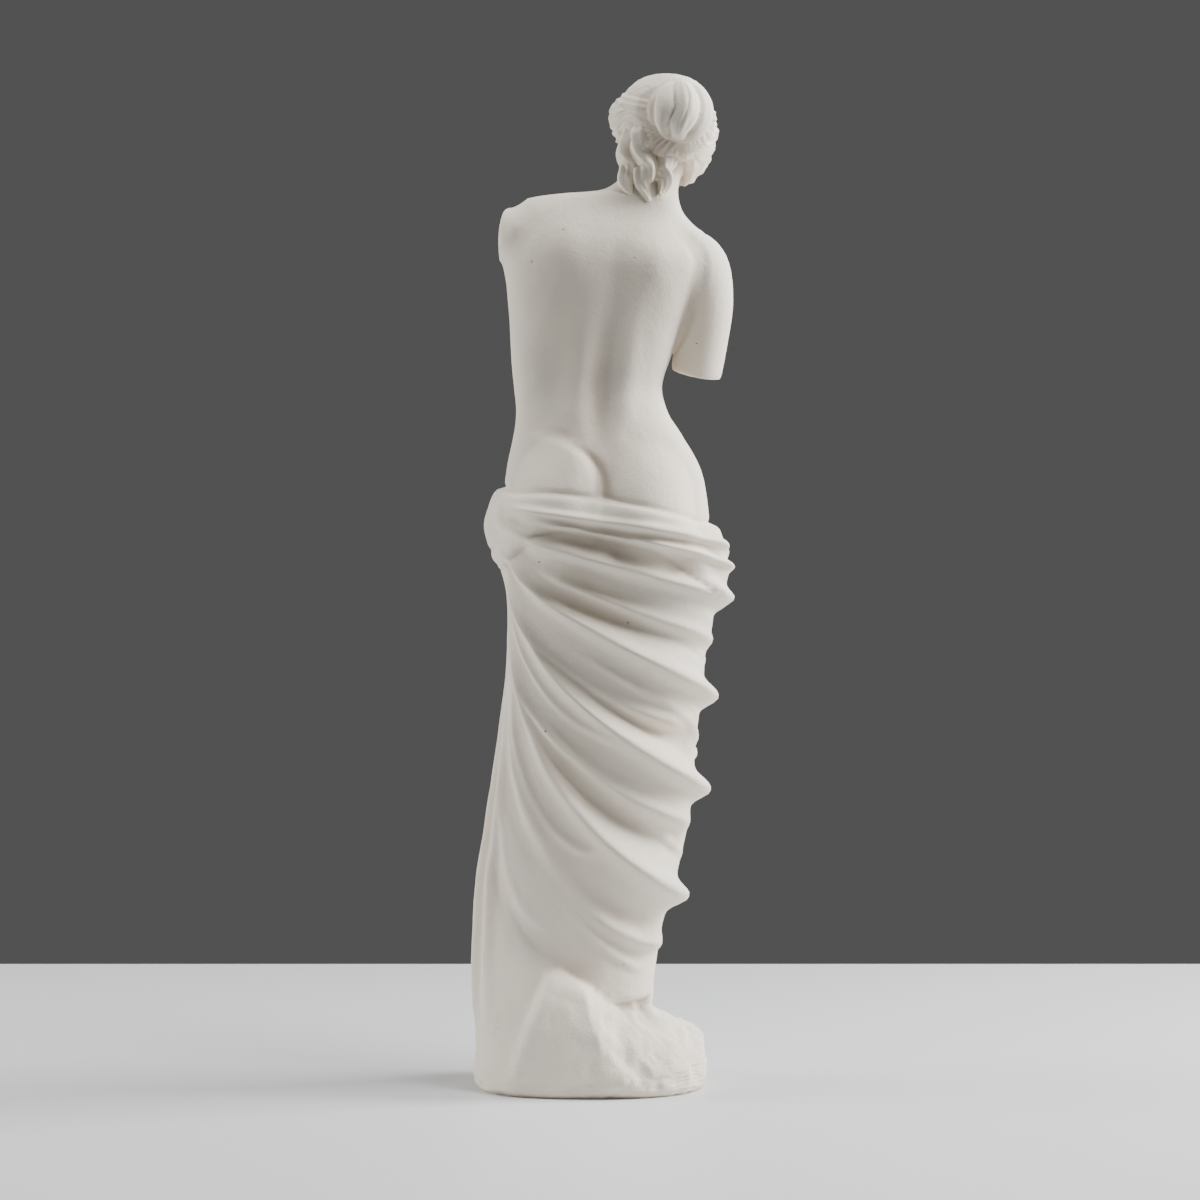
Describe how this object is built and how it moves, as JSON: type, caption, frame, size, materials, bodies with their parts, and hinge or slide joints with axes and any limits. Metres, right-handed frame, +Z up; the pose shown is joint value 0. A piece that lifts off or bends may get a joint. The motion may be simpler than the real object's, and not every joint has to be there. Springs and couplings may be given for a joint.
{
  "type": "statue",
  "caption": "Standing half-draped woman of classical type with lost arms, one plaster casting on a low rock base; display ornament.",
  "frame": {"origin": "centre of the base's underside, on the surface it stands on", "axes": "+Z up through the figure, +Y the way she faces, +X to the right of a viewer who looks at her back along +Y"},
  "size_m": [0.1128, 0.0858, 0.4388],
  "materials": {
    "plaster": "matt cast plaster, warm white"
  },
  "bodies": {
    "root": {"draped_goddess": "plaster"}
  },
  "joints": []
}
